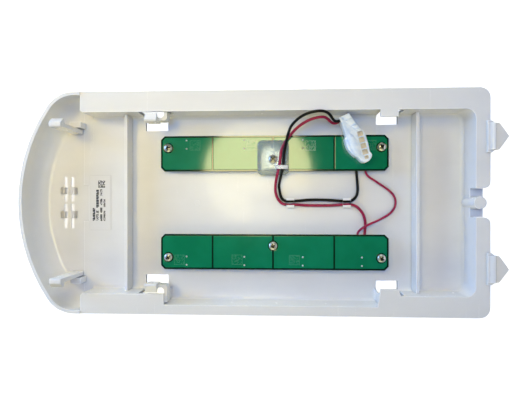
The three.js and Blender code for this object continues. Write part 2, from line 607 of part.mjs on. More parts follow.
function addPlug() {
  const { length, depth, z } = PLUG;
  const narrow = box([0, PLUG_STEP.length], [0, PLUG_STEP.depth], z);
  const wide = extrude(chamfered([PLUG_STEP.length - PAST, length], [0, depth], PLUG.chamfer), z);
  let housing = narrow.add(wide);
  const contacts = [];
  for (let way = 0; way < WAY.count; way += 1) {
    const start = WAY.first + way * WAY.pitch - WAY.size / 2;
    const x = [start, start + WAY.size];
    for (const row of WAY.rows) {
      housing = housing.subtract(box(x, [WAY.back, depth + PAST], [row - WAY.size / 2, row + WAY.size / 2]));
    }
    if (x[0] > PLUG_STEP.length) {
      housing = housing.subtract(box(x, TOP_OPENING, [WAY.rows[1], z[1] + PAST]));
    }
  }
  for (const row of WAY.rows) {
    const wireHole = new THREE.CylinderGeometry(WAY.wireR, WAY.wireR, 4, 12).translate(WAY.first, PAST, row);
    housing = housing.subtract(toManifold(wireHole));
    const half = WAY.size / 2 - GAP;
    const inner = half - CONTACT.wall;
    const start = WAY.back + GAP;
    const shell = box([WAY.first - half, WAY.first + half], [start, CONTACT.end], [row - half, row + half]);
    const bore = box(
      [WAY.first - inner, WAY.first + inner],
      [start + CONTACT.closed, CONTACT.end + PAST],
      [row - inner, row + inner],
    );
    contacts.push(shell.subtract(bore));
  }
  addNode('plug_housing', placePlug(housing), nylon);
  addNode('plug_contact_lower', placePlug(contacts[0]), brass);
  addNode('plug_contact_upper', placePlug(contacts[1]), brass);
}

// ---- Badge and label ------------------------------------------------------------------------

// Two rows of legs come up through the slots; each row's barbs point away from the other row.
function addBadge() {
  const plate = extrude(chamfered(BADGE.x, [-BADGE.y, BADGE.y], BADGE.corner), [0, BADGE.t]);
  const { t, y, top, barb, barbT } = BADGE_LEG;
  const seat = BOW_FLOOR_Z + GAP;
  const legs = SLOT_X.map(([a, b], i) => {
    const out = i === 0 ? -1 : 1;
    const edge = i === 0 ? a + GAP : b - GAP;
    const x = [edge, edge - out * t].sort((p, q) => p - q);
    const inside = edge - out * BADGE_LEG.root;
    const tip = edge + out * barb;
    const profile = polygon([[inside, seat], [tip, seat], [tip, seat + barbT], [inside, top]]);
    const hook = new THREE.ExtrudeGeometry(profile, { depth: y[1] - y[0], bevelEnabled: false });
    hook.rotateX(Math.PI / 2);
    hook.translate(0, y[1], 0);
    return box(x, y, [BADGE.t / 2, top]).add(toManifold(hook));
  });
  addNode('front_badge', plate.add(bothSides(sum(legs))), grey);
}

addCover();
addHooks();
addBoards();
addRetainer();
CLIP_X.forEach((x, i) => addNode(`wire_clip_${i === 0 ? 'left' : 'right'}`, floorClip(x), nylon));
addCords();
addPlug();
addBadge();
addNode('rating_label', box(LABEL.x, LABEL.y, LABEL.z), paper);

export default group;
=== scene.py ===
"""Looks of a wall battery unit's clip-on cover, laid on its front face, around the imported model."""
import json
import math
import random

import bmesh
import bpy
from mathutils import Matrix, Vector


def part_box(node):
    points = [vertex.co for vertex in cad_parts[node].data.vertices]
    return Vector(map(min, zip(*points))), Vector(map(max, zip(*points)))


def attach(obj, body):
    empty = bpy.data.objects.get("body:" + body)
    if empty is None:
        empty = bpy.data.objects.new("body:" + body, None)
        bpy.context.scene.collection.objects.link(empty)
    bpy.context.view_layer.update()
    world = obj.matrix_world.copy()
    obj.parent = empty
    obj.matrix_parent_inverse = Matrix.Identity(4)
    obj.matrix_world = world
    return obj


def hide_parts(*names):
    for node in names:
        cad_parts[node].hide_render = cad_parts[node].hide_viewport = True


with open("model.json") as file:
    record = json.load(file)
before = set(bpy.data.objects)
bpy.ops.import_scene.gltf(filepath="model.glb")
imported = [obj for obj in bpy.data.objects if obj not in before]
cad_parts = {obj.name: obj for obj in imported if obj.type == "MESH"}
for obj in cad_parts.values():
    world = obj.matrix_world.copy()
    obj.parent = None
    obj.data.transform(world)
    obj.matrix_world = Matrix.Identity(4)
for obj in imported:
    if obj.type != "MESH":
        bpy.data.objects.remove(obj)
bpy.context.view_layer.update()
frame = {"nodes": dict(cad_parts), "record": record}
nodes = frame["nodes"]
scene = bpy.context.scene

# ---- Sizes, in millimetres unless a name says otherwise -----------------------------------------

MM = 0.001
COVER = "cover"                        # the body that everything but the hooks rides on
SIDES = (("upper", 1), ("lower", -1))  # the two long sides, and the sign of their Y

# Cover plastic: painted shade darkens its creases and a painted highlight lightens its edges, each as far
# as its reach
COVER_COLOR = (0.80, 0.785, 0.76)
CREASE_SHADE_COLOR = (0.62, 0.61, 0.59)
CREASE_SHADE_REACH = 1.6
EDGE_HIGHLIGHT_COLOR = (0.97, 0.97, 0.97)
EDGE_HIGHLIGHT_REACH = 0.8

# Camera
CAMERA_AT = (15.5, 0.55, 299)
CAMERA_AIM = (2.7, -0.15, 22)
CAMERA_LENS = 29.66                    # for a 36 mm sensor
FLOOR_SIZE = 2400

# Lights: a round ceiling lamp, the rest of the ceiling, and the windows and walls of a room
BLUE = (0.0, 0.08, 1.0)
SKY = (0.3, 0.54, 1.0)
AMBER = (1.0, 0.75, 0.1)
WARM = (1.0, 0.9, 0.45)
PALE = (0.9, 0.95, 0.93)
LAMP_SIZE = (220, 220)
LAMP_AIM = (0, 10, 0)
WINDOW_AIM = (60, -10, 10)
ORIGIN = (0, 0, 0)
LIGHTS = [  # name, place, what it points at, size, power in watts, colour, whether it shows as glare
    ("lamp", (-32, 60, 610), LAMP_AIM, LAMP_SIZE, 1.25, SKY, False),
    ("lamp_glare", (-32, 60, 600), LAMP_AIM, LAMP_SIZE, 1.0, WARM, True),
    ("ceiling_left", (-330, 60, 640), (-60, 0, 0), (300, 400), 0.35, BLUE, False),
    ("ceiling_right", (330, 60, 640), (60, 0, 0), (300, 400), 0.4, BLUE, False),
    ("left_spot", (-250, 150, 560), (-110, 50, 10), (200, 200), 0.19, AMBER, False),
    ("far_spot", (60, 300, 560), (40, 80, 10), (200, 200), 0.1, AMBER, False),
    ("left_window", (-620, 200, 150), WINDOW_AIM, (500, 200), 4.8, SKY, True),
    ("left_door", (-620, -150, 150), WINDOW_AIM, (400, 200), 0.6, SKY, True),
    ("far_window", (60, 620, 150), WINDOW_AIM, (500, 200), 1.8, PALE, True),
    ("near_wall", (0, -560, 330), ORIGIN, (600, 300), 1.6, WARM, True),
    ("right_wall", (560, 0, 330), ORIGIN, (350, 500), 0.7, PALE, True),
]
ROUND_LIGHTS = ("lamp", "lamp_glare")
SPOTS = ("left_spot", "far_spot")
SPOT_SPREAD = 60
PHONE_X = (-27, 62)                    # the dark back of a phone shows in the glossy floor
PHONE_Y = (-140, 12.9)
PHONE_Z = (303, 311)

# Leads, from the board headers to the plug or the other board
LEAD_D = 1.9
JUMPER_D = 1.5
BLACK_ROUTE = [
    (66.7, 22.3, 4.3), (66.9, 19, 4.2), (67.4, 14, 3.9), (67.6, 8.4, 3.9), (67, 5.2, 3.9),
    (65.4, 2.8, 4.1), (63.2, 1.4, 4.4), (60.5, 1.1, 4.45), (57, 1.15, 4.45), (50, 1.7, 3.9), (42.2, 2, 3.9),
    (34, 1.9, 3.9), (27.5, 1.3, 4.3), (22, 1.05, 4.45), (19.5, 1.1, 4.45), (17.4, 1.8, 4.3),
    (15.9, 3.4, 4.1), (15.1, 5.6, 3.95), (14.6, 8.4, 4), (14.2, 11.4, 4.9), (14.7, 14.6, 7.8),
    (15.4, 17.5, 10.8), (16.5, 22.4, 11.2), (17.2, 27.1, 11.2), (17.5, 31.8, 11.7), (18.3, 36.3, 13.2),
    (19, 40.2, 14.7), (20.2, 45, 16.5), (22.1, 49.7, 18.2), (24.9, 52.8, 20), (28, 55.1, 21.4),
    (32, 57, 22.8), (37.3, 58.3, 23.3), (41, 58.6, 23.3), (43.7, 58.3, 22.6), (45.8, 57.5, 21.3),
    (47.5, 56.3, 19.6), (49.4, 54.5, 17), (50.4, 53.75, 15.9), (51.5, 53.4, 15.2), (52.8, 53.5, 14.7),
    (54.1, 53.95, 14.5), (55.6, 54.6, 14.5),
]
RED_ROUTE = [
    (72.2, -22.3, 4.3), (72.5, -19, 4.1), (72.8, -15.7, 3.9), (72.5, -11.7, 3.9), (71.2, -7.7, 3.9),
    (69, -4.6, 3.9), (66.6, -2.5, 4.2), (63.6, -1.4, 4.45), (57.7, -1.25, 4.45), (50, -1.8, 3.9),
    (42.2, -1.9, 3.9), (33, -1.8, 3.9), (25.5, -1.3, 4.45), (19.5, -1.35, 4.45), (16.3, -0.4, 4.1),
    (13.3, 2.9, 3.9), (11.9, 7.1, 4), (11.8, 11.2, 4.9), (12.1, 13.9, 7.7), (12.6, 16.6, 10.3),
    (13.1, 19.2, 11.3), (13.9, 22.4, 11.3), (14.7, 26.6, 11.2), (15.2, 31, 11.2),
    (16.2, 36.3, 11.2), (18.4, 40.6, 11.7), (21.8, 44.9, 13.6), (25.4, 48.6, 15.4),
    (29.5, 51.6, 16.9), (34.4, 54, 18), (39.5, 55.4, 18.4),
    (43.7, 55.8, 17.4), (46.2, 54.9, 15.4), (48.2, 53.6, 13), (50.3, 52.9, 11.2), (52.3, 53.1, 10.4),
    (54.1, 53.95, 10.3), (55.6, 54.6, 10.3),
]
JUMPER_ROUTE = [
    (72.8, 22.3, 4.3), (73, 20.6, 4.2), (74, 18.7, 4), (76.1, 16.9, 3.8), (79.3, 14.9, 3.7),
    (82.6, 12.6, 3.7), (86, 10.3, 3.7), (89.2, 7.9, 3.7), (91.6, 5.2, 3.7), (93, 1.8, 3.7),
    (92.8, -2.2, 3.7), (90.8, -5.8, 3.7), (88, -8.3, 3.7), (84.5, -10.4, 3.9), (80.5, -12.3, 4.7),
    (76.5, -13.9, 5.8), (72.9, -15.6, 6.2), (70, -17.6, 5.6), (68.1, -19.6, 4.6), (67.1, -22.3, 4.3),
]

# Plug: its outline from above, drawn from its rear upper corner, +X along its row of ways
PLUG_CORNER = (53.6, 55.8)
PLUG_TURN = -65.2
PLUG_OUTLINE = [
    (0, -0.6), (4, -0.25), (11, -0.9), (13.6, -1.3), (13.9, -2.5), (17, -3.2), (20.9, -3.5),
    (24.5, -2.7), (27.9, -1.2), (28.1, -0.3), (31.8, 0.8), (33.4, 1.9), (34.1, 3.6), (33.9, 5.6),
    (32.6, 7.9), (31.4, 8.9), (30.1, 9.1), (28.9, 8.5), (23.3, 9.8), (17.3, 10.7), (14, 10.4),
    (13.2, 9.2), (0, 6.6),
]
PLUG_Z = 7.9
PLUG_TOP = 16.3
PLUG_DOME_AT = (20.5, 0.9, PLUG_TOP - 0.4)
PLUG_DOME_SIZE = (8.5, 3.3, 1.5)
PLUG_LUMPS = [
    [(0.4, 0.8), (3.7, 2.0), (3.7, 7.3), (0.4, 6.6)],
    [(4.2, 2.4), (8.3, 4.2), (8.3, 8.1), (4.2, 7.4)],
    [(8.8, 4.5), (12.6, 5.7), (12.8, 9.0), (8.8, 8.3)],
]
PLUG_SKEW = -9.5                       # the open ways run at this angle to the rear part
WAY_PITCH = 4.1
WAY_SIZE = (3.35, 3.7)
WAY_DEPTH = 2.2
FIRST_WAY = (15.4, 7.75)
FULL_WAYS = 4
LAST_WAY = 3.87                        # the last way is smaller and nearer than a whole pitch
LAST_WAY_SIZE = (2.2, 2.6)
LINING_T = 0.25
LINING_GAP = 0.02
WIRE_ROWS = (10.3, 14.5)               # heights of the two rows of ways that take the wires
WIRE_BORE_R = 1.25
MATING_COUNT = 7
MATING_FIRST = 1.9
MATING_PITCH = 4.2
MATING_HALF = 1.45
MATING_Y = (2, 14)

# Retainer
SCREW_HOLE_R = 1.7
RETAINER_R = 3.4
RETAINER_EDGE = 0.9
RING_H = 1.0
RING_R = (3.6, 3.2)                    # at its foot and at its top

# Screws
HEAD_R = 2.8
HEAD_H = 2.0
SHANK_R = 1.35
ARM_HALF = (1.8, 0.5)                  # half the length and width of each arm of the recess
ARM_TAPER = (0.45, 0.6)                # how much of them is left at the bottom
ARM_FLOOR = 0.3
# painted shade in each screw's recess: how far it reaches and its colour
RECESS_SHADE_REACH = 1.6
RECESS_SHADE_COLOR = (0.03, 0.022, 0.018)

# Boards: copper areas with gaps between them, solder joints and printed codes beside each LED
LED_COUNT = 4
POOL_R = 1.45
JOINT_Y = (36.8, 42.5)
BOARD_CORNER = 2.6
COPPER_EDGE = 1.25
COPPER_GAP_X = (-31.0, 10.2, 51.4)
COPPER_GAP_HALF = (0.5, 0.7)
SCREW_CLEAR = (3.35, 3.6)
INK_T = 0.02
CODE_SIZE = (6.9, 6.4)
CODE_DOTS = (11, 10)
DOT_SIZE = 0.3
DOT_SHARE = 0.5
BRIGHT_CODES = ((31.9, 35.3), (-7.6, 35.9))
FAINT_CODES = ((-46.5, 35.9), (72.2, 35.4), (-17.7, -42.0), (21.2, -42.0), (-57.4, -42.2))

# Label: the code block's X and Y, then each line's X, Y, pitch of its blocks and how full they are
LABEL_CODE = ((-112.5, -107.6), (10.6, 15.5))
LABEL_CELLS = 12
LABEL_SHARE = 0.52
LABEL_LINES = [
    ((-116.4, -114.7), (-12.8, -3.2), 1.15, 0.9), ((-113.9, -112.0), (-3.4, 10.2), 1.15, 0.9),
    ((-113.9, -112.2), (-12.4, -4.6), 1.0, 0.6), ((-111.1, -109.6), (5.0, 9.7), 0.9, 0.7),
    ((-111.1, -109.6), (-1.6, 3.6), 0.9, 0.75), ((-111.1, -109.6), (-12.8, -2.3), 0.95, 0.88),
    ((-108.7, -107.4), (-3.0, 2.6), 0.9, 0.7), ((-108.7, -107.4), (-12.8, -5.1), 0.9, 0.65),
]
BLOCK_CELLS = (3, 2)
BLOCK_SHARE = 0.84                     # how much of the pitch a block takes up
SPACE_CHANCE = 0.12


def mm(values):
    return Vector(values) * MM


def middle(name):
    """The middle of a CAD node's box, in millimetres."""
    low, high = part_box(name)
    return (low + high) / 2 / MM


LED_X = [middle(f"led_upper_{i + 1}").x for i in range(LED_COUNT)]
LED_Y = middle("led_upper_1").y
MID_SCREW = middle("screw_upper_mid")
BOARD_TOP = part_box("led_board_upper")[1].z / MM


# ---- Camera, light and floor --------------------------------------------------------------------

def link(obj):
    scene.collection.objects.link(obj)
    return obj


def aimed(at, aim):
    """A matrix that puts something at one point, looking at another, with +Y towards its top."""
    back = (Vector(at) - Vector(aim)).normalized()
    right = Vector((0, 1, 0)).cross(back).normalized()
    rows = Matrix((right, back.cross(right), back)).transposed().to_4x4()
    return Matrix.Translation(mm(at)) @ rows


def add_camera():
    data = bpy.data.cameras.new("camera")
    data.lens = CAMERA_LENS
    data.sensor_width = 36
    data.clip_start = 0.01
    camera = link(bpy.data.objects.new("camera", data))
    camera.matrix_world = aimed(CAMERA_AT, CAMERA_AIM)
    scene.camera = camera


def area_light(name, at, aim, size, power, color, mirrored):
    """A rectangular light; one that isn't mirrored leaves no glare on the glossy boards and floor."""
    data = bpy.data.lights.new(name, "AREA")
    data.shape = "RECTANGLE"
    data.size = size[0] * MM
    data.size_y = size[1] * MM
    data.energy = power
    data.color = color
    light = link(bpy.data.objects.new(name, data))
    light.matrix_world = aimed(at, aim)
    light.visible_glossy = mirrored


def add_lights():
    """The table's lights and a dim world; the glare of the lamp adds nothing to its own light."""
    for row in LIGHTS:
        area_light(*row)
    for name in SPOTS:
        bpy.data.lights[name].spread = math.radians(SPOT_SPREAD)
    for name in ROUND_LIGHTS:
        bpy.data.lights[name].shape = "DISK"
    bpy.data.objects["lamp_glare"].visible_diffuse = False
    world = bpy.data.worlds.new("studio")
    scene.world = world
    world.use_nodes = True
    background = world.node_tree.nodes["Background"]
    background.inputs["Color"].default_value = (0.86, 0.87, 0.90, 1)
    background.inputs["Strength"].default_value = 0.02
    scene.view_settings.view_transform = "Standard"


# ---- Materials ----------------------------------------------------------------------------------

class Look:
    """A Principled material and short ways to put procedural detail on it."""

    def __init__(self, name, color, roughness, **sockets):
        self.material = bpy.data.materials.new(name)
        self.material.use_nodes = True
        self.tree = self.material.node_tree
        self.shader = self.tree.nodes["Principled BSDF"]
        self.shader.inputs["Base Color"].default_value = (*color, 1)
        self.shader.inputs["Roughness"].default_value = roughness
        for socket, value in sockets.items():
            self.shader.inputs[socket.replace("_", " ")].default_value = value
        self.place = self.node("ShaderNodeTexCoord").outputs["Object"]

    def node(self, kind, **properties):
        made = self.tree.nodes.new(kind)
        for key, value in properties.items():
            setattr(made, key, value)
        return made

    def put(self, value, socket):
        if hasattr(value, "links"):
            self.tree.links.new(value, socket)
        else:
            socket.default_value = value

    def math(self, operation, *values):
        made = self.node("ShaderNodeMath", operation=operation)
        for value, socket in zip(values, made.inputs):
            self.put(value, socket)
        return made.outputs[0]

    def gap(self, first, second):
        return self.math("ABSOLUTE", self.math("SUBTRACT", first, second))

    def distance(self, dx, dy):
        squares = self.math("ADD", self.math("MULTIPLY", dx, dx), self.math("MULTIPLY", dy, dy))
        return self.math("SQRT", squares)

    def noise(self, scale, detail=2.0, stretch=None, roughness=0.5):
        made = self.node("ShaderNodeTexNoise")
        made.inputs["Scale"].default_value = scale
        made.inputs["Detail"].default_value = detail
        made.inputs["Roughness"].default_value = roughness
        vector = self.place
        if stretch:
            mapping = self.node("ShaderNodeMapping")
            mapping.inputs["Scale"].default_value = stretch
            self.tree.links.new(self.place, mapping.inputs["Vector"])
            vector = mapping.outputs["Vector"]
        self.tree.links.new(vector, made.inputs["Vector"])
        return made.outputs["Fac"]

    def ramp(self, value, low, high, to_low=0.0, to_high=1.0):
        made = self.node("ShaderNodeMapRange", clamp=True)
        self.put(value, made.inputs["Value"])
        for socket, number in zip(list(made.inputs)[1:5], (low, high, to_low, to_high)):
            socket.default_value = number
        return made.outputs["Result"]

    def mix(self, factor, first, second):
        made = self.node("ShaderNodeMix", data_type="RGBA")
        for value, socket in zip((factor, first, second), (made.inputs[0], made.inputs[6], made.inputs[7])):
            self.put((*value, 1) if isinstance(value, tuple) else value, socket)
        return made.outputs[2]

    def tint(self, color):
        """Sets the base colour; the last one stays in tinted for another layer to go over it."""
        self.tinted = color
        self.put(color, self.shader.inputs["Base Color"])

    def shelter(self, reach, inside=False):
        """1 on open faces, less near inner corners, or with inside set, less near outer edges."""
        made = self.node("ShaderNodeAmbientOcclusion", samples=8, inside=inside)
        made.inputs["Distance"].default_value = reach * MM
        return made.outputs["AO"]

    def rough(self, value):
        self.put(value, self.shader.inputs["Roughness"])

    def bump(self, height, distance, strength):
        made = self.node("ShaderNodeBump")
        made.inputs["Strength"].default_value = strength
        made.inputs["Distance"].default_value = distance * MM
        self.put(height, made.inputs["Height"])
        self.tree.links.new(made.outputs["Normal"], self.shader.inputs["Normal"])

    def xyz(self, vector):
        made = self.node("ShaderNodeSeparateXYZ")
        self.tree.links.new(vector, made.inputs[0])
        return made.outputs[0], made.outputs[1], made.outputs[2]


def moulded(name, color, roughness, variation=0.05, grain=0.02, **sockets):
    """Injection-moulded plastic: a faint flow pattern, fine orange peel, scuffs and a little dust."""
    look = Look(name, color, roughness, **sockets)
    flow = look.noise(22, 3.0, stretch=(1, 2.4, 1))
    darker = tuple(c * (1 - variation) for c in color)
    lighter = tuple(min(1.0, c * (1 + variation * 0.5)) for c in color)
    look.tint(look.mix(look.ramp(flow, 0.35, 0.65), darker, lighter))
    scuffs = look.noise(260, 4.0, stretch=(1, 0.06, 1), roughness=0.7)
    worn = look.ramp(scuffs, 0.56, 0.72, 0.0, 0.10)
    dust = look.ramp(look.noise(900, 2.0), 0.3, 0.7, -0.03, 0.04)
    look.rough(look.math("ADD", look.math("ADD", worn, dust), roughness))
    peel = look.math("ADD", look.noise(1500, 2.0), look.math("MULTIPLY", scuffs, 0.15))
    look.bump(peel, grain, 0.35)
    return look


def cover_look():
    """Glossy moulded plastic, a little translucent, with painted shade in its creases and a painted
    highlight on its edges.
    """
    look = moulded("cover_abs", COVER_COLOR, 0.20, variation=0.03, grain=0.004, Coat_Weight=0.2)
    look.shader.inputs["Coat Roughness"].default_value = 0.03
    look.shader.inputs["Specular IOR Level"].default_value = 0.35
    # painted shade: the colour darkens where occlusion finds an inner corner
    creases = look.ramp(look.shelter(CREASE_SHADE_REACH), 0.35, 0.95)
    look.tint(look.mix(creases, CREASE_SHADE_COLOR, look.tinted))
    # painted highlight: the colour lightens where inside occlusion finds an outer edge
    edges = look.ramp(look.shelter(EDGE_HIGHLIGHT_REACH, inside=True), 0.45, 0.9)
    look.tint(look.mix(edges, EDGE_HIGHLIGHT_COLOR, look.tinted))
    look.shader.inputs["Subsurface Weight"].default_value = 0.12
    look.shader.inputs["Subsurface Scale"].default_value = 2.5 * MM
    look.shader.inputs["Subsurface Radius"].default_value = (1.0, 0.9, 0.75)
    return look.material


def board_look():
    """Solder mask over copper areas with darker gaps round and between them, and bare fibre edges."""
    look = Look("board_mask", (0.008, 0.14, 0.06), 0.08, Specular_IOR_Level=0.92)
    x, y, _ = look.xyz(look.place)
    side = look.math("ABSOLUTE", y)
    low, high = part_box("led_board_upper")
    inward = [
        look.math("SUBTRACT", x, low.x), look.math("SUBTRACT", high.x, x),
        look.math("SUBTRACT", side, low.y), look.math("SUBTRACT", high.y, side),
    ]
    across = look.math("MINIMUM", inward[0], inward[1])
    along = look.math("MINIMUM", inward[2], inward[3])
    past_corner = look.math("SUBTRACT", look.math("ADD", across, along), BOARD_CORNER * MM)
    corner = look.math("MULTIPLY", past_corner, math.sqrt(0.5))
    edge = look.math("MINIMUM", look.math("MINIMUM", across, along), corner)
    copper = look.ramp(edge, (COPPER_EDGE - 0.1) * MM, (COPPER_EDGE + 0.1) * MM)
    for place in COPPER_GAP_X:
        clear = look.ramp(look.gap(x, place * MM), *(v * MM for v in COPPER_GAP_HALF))
        copper = look.math("MULTIPLY", copper, clear)
    for name in ("screw_upper_left", "screw_upper_mid", "screw_upper_right"):
        screw = middle(name) * MM
        away = look.distance(look.math("SUBTRACT", x, screw.x), look.math("SUBTRACT", side, screw.y))
        copper = look.math("MULTIPLY", copper, look.ramp(away, *(v * MM for v in SCREW_CLEAR)))
    cloudy = look.noise(60, 4.0)
    over_copper = look.mix(look.ramp(cloudy, 0.35, 0.65), (0.003, 0.178, 0.078), (0.005, 0.212, 0.098))
    mask = look.mix(copper, (0.001, 0.026, 0.010), over_copper)
    normal = look.node("ShaderNodeNewGeometry").outputs["Normal"]
    flat = look.ramp(look.math("ABSOLUTE", look.xyz(normal)[2]), 0.5, 0.8)
    fibre = look.mix(look.noise(900, 2.0, stretch=(1, 1, 6)), (0.30, 0.42, 0.22), (0.50, 0.60, 0.38))
    look.tint(look.mix(flat, fibre, mask))
    weave = look.noise(1400, 2.0)
    look.rough(look.ramp(weave, 0.3, 0.7, 0.06, 0.10))
    height = look.math("ADD", copper, look.math("MULTIPLY", weave, 0.02))
    look.bump(height, 0.05, 0.8)
    return look.material


def insulation_look(name, color):
    """PVC insulation: satin, with long drawn streaks and a little lint."""
    look = Look(name, color, 0.3, Specular_IOR_Level=0.22)
    streaks = look.noise(700, 3.0)
    lint = look.noise(2600, 2.0)
    brighter = tuple(min(1.0, c * 1.4 + 0.001) for c in color)
    look.tint(look.mix(look.ramp(streaks, 0.42, 0.72), color, brighter))
    look.rough(look.ramp(streaks, 0.3, 0.7, 0.28, 0.46))
    look.bump(lint, 0.02, 0.4)
    return look.material


def metal_look(name, color, roughness, turned=False):
    """Bare metal; a turned piece has rings round its axis and painted shade in its recess."""
    look = Look(name, color, roughness, Metallic=1.0)
    grain = look.noise(1600, 3.0, stretch=(0.3, 0.3, 9)) if turned else look.noise(2600, 3.0)
    look.tint(look.mix(look.ramp(grain, 0.3, 0.75), tuple(c * 0.82 for c in color), color))
    if turned:
        # painted shade: the recess darkens where occlusion finds a hollow
        recess = look.ramp(look.shelter(RECESS_SHADE_REACH), 0.45, 0.85)
        look.tint(look.mix(recess, RECESS_SHADE_COLOR, look.tinted))
    look.rough(look.ramp(grain, 0.3, 0.7, roughness * 0.7, roughness * 1.5))
    look.bump(grain, 0.01, 0.4)
    return look.material


def clear_look(name, color, roughness, transmission, ior, grain=0.01):
    """Clear or milky plastic with a little haze."""
    look = Look(name, color, roughness, IOR=ior, Transmission_Weight=transmission)
    haze = look.noise(180, 3.0)
    look.rough(look.ramp(haze, 0.3, 0.7, roughness * 0.75, roughness * 1.35))
    look.tint(look.mix(look.ramp(haze, 0.4, 0.7), color, tuple(c * 0.94 for c in color)))
    look.bump(look.noise(1200, 2.0), grain, 0.3)
    return look.material


def led_look():
    """A white package with a yellow phosphor pool in its middle."""
    look = Look("led_package", (0.8, 0.8, 0.77), 0.45)
    x, y, _ = look.xyz(look.place)
    side = look.math("ABSOLUTE", y)
    nearest = look.gap(x, LED_X[0] * MM)
    for led_x in LED_X[1:]:
        nearest = look.math("MINIMUM", nearest, look.gap(x, led_x * MM))
    away = look.distance(nearest, look.math("SUBTRACT", side, LED_Y * MM))
    pool = look.ramp(away, POOL_R * MM, (POOL_R + 0.15) * MM, 1.0, 0.0)
    speckle = look.noise(4000, 2.0)
    phosphor = look.mix(speckle, (0.80, 0.55, 0.06), (0.95, 0.74, 0.16))
    look.tint(look.mix(pool, (0.80, 0.79, 0.75), phosphor))
    look.rough(look.ramp(speckle, 0.3, 0.7, 0.35, 0.55))
    look.bump(speckle, 0.01, 0.3)
    return look.material


def plug_look():
    """Natural nylon: cloudy and slightly translucent, tinted cool blue as painted cool light."""
    # painted cool light: the blue colours stand for the cool light on the plug
    look = Look("plug_nylon_painted_cool_light", (0.80, 0.86, 0.93), 0.34)
    look.shader.inputs["Subsurface Weight"].default_value = 0.35
    look.shader.inputs["Subsurface Scale"].default_value = 1.5 * MM
    look.shader.inputs["Subsurface Radius"].default_value = (1.0, 0.95, 0.85)
    cloudy = look.noise(240, 3.0)
    look.tint(look.mix(look.ramp(cloudy, 0.35, 0.65), (0.66, 0.77, 0.90), (0.84, 0.90, 0.95)))
    look.rough(look.ramp(cloudy, 0.3, 0.7, 0.28, 0.42))
    look.bump(look.noise(1800, 2.0), 0.02, 0.35)
    return look.material


def lining_look():
    """The inside of the open ways, tinted tan as painted warm light through the nylon."""
    # painted warm light: the tan colours stand for light shining through the nylon
    look = Look("way_nylon_painted_warm_light", (0.76, 0.68, 0.50), 0.45)
    cloudy = look.noise(500, 3.0)
    look.tint(look.mix(look.ramp(cloudy, 0.35, 0.65), (0.72, 0.62, 0.43), (0.82, 0.75, 0.57)))
    look.rough(look.ramp(cloudy, 0.3, 0.7, 0.38, 0.55))
    look.bump(look.noise(1800, 2.0), 0.02, 0.35)
    return look.material


def paper_look():
    """A glossy label in nearly the cover's own colour."""
    look = Look("label_face", COVER_COLOR, 0.22, Coat_Weight=0.6, Coat_Roughness=0.06)
    fibres = look.noise(3000, 4.0, stretch=(1, 0.4, 1))
    look.tint(look.mix(look.ramp(fibres, 0.3, 0.7), (0.79, 0.775, 0.75), (0.82, 0.805, 0.78)))
    look.rough(look.ramp(fibres, 0.3, 0.7, 0.18, 0.26))
    look.bump(fibres, 0.004, 0.4)
    return look.material


def ink_look(name, color):
    """Patchy, slightly rough ink."""
    look = Look(name, color, 0.55)
    patchy = look.noise(2500, 3.0)
    look.tint(look.mix(look.ramp(patchy, 0.4, 0.8), color, tuple(min(1.0, c * 1.3) for c in color)))
    look.rough(look.ramp(patchy, 0.3, 0.7, 0.45, 0.65))
    look.bump(patchy, 0.01, 0.3)
    return look.material


def floor_look():
    """A plain pale floor that glows a little, so that it stays even behind the object."""
    look = Look("studio_floor", (0.93, 0.93, 0.93), 0.7)
    look.tint(look.mix(look.noise(6, 3.0), (0.92, 0.92, 0.92), (0.94, 0.94, 0.94)))
    look.shader.inputs["Emission Color"].default_value = (1, 1, 1, 1)
    look.shader.inputs["Emission Strength"].default_value = 0.8
    return look.material


add_camera()
add_lights()
looks = {
    "cover_plastic": cover_look(),
    "hook_plastic": moulded("hook_abs", (0.80, 0.79, 0.775), 0.22, Coat_Weight=0.15).material,
    "circuit_board": board_look(),
    "lens_plastic": clear_look("lens_frosted", (0.92, 0.94, 0.94), 0.34, 0.65, 1.55, 0.05),
    "nylon": plug_look(),
    "led_package": led_look(),
    "screw_steel": metal_look("screw_nickel", (0.86, 0.85, 0.83), 0.3, turned=True),
    "clear_plastic": clear_look("retainer_clear", (0.72, 0.80, 0.79), 0.13, 0.72, 1.58),
    "tie_plastic": clear_look("tie_natural", (0.86, 0.88, 0.90), 0.3, 0.45, 1.53),
    "clip_plastic": moulded("clip_abs", (0.84, 0.83, 0.82), 0.3).material,
    "black_insulation": insulation_look("black_pvc", (0.003, 0.0025, 0.003)),
    "red_insulation": insulation_look("red_pvc", (0.30, 0.014, 0.055)),
    "contact_brass": metal_look("contact_tinned", (0.78, 0.68, 0.45), 0.3),
    "badge_plastic": clear_look("badge_clear", (0.80, 0.78, 0.75), 0.45, 0.7, 1.5, 0.03),
    "label_paper": paper_look(),
}


def add_floor():
    bpy.ops.mesh.primitive_plane_add(size=FLOOR_SIZE * MM)
    floor = bpy.context.object
    floor.name = "floor"
    floor.data.materials.append(floor_look())
    floor.visible_diffuse = False
    floor.visible_glossy = False


def add_phone():
    """A dark phone just above the camera: it only shows as a reflection and throws no shadow."""
    look = Look("phone_back", (0.05, 0.05, 0.055), 0.3)
    look.rough(look.ramp(look.noise(40), 0.3, 0.7, 0.25, 0.4))
    phone = prism("phone", rectangle(PHONE_X, PHONE_Y), *PHONE_Z)
    phone.data.materials.append(look.material)
    phone.visible_camera = False
    phone.visible_shadow = False
    phone.visible_diffuse = False


# ---- Cords --------------------------------------------------------------------------------------

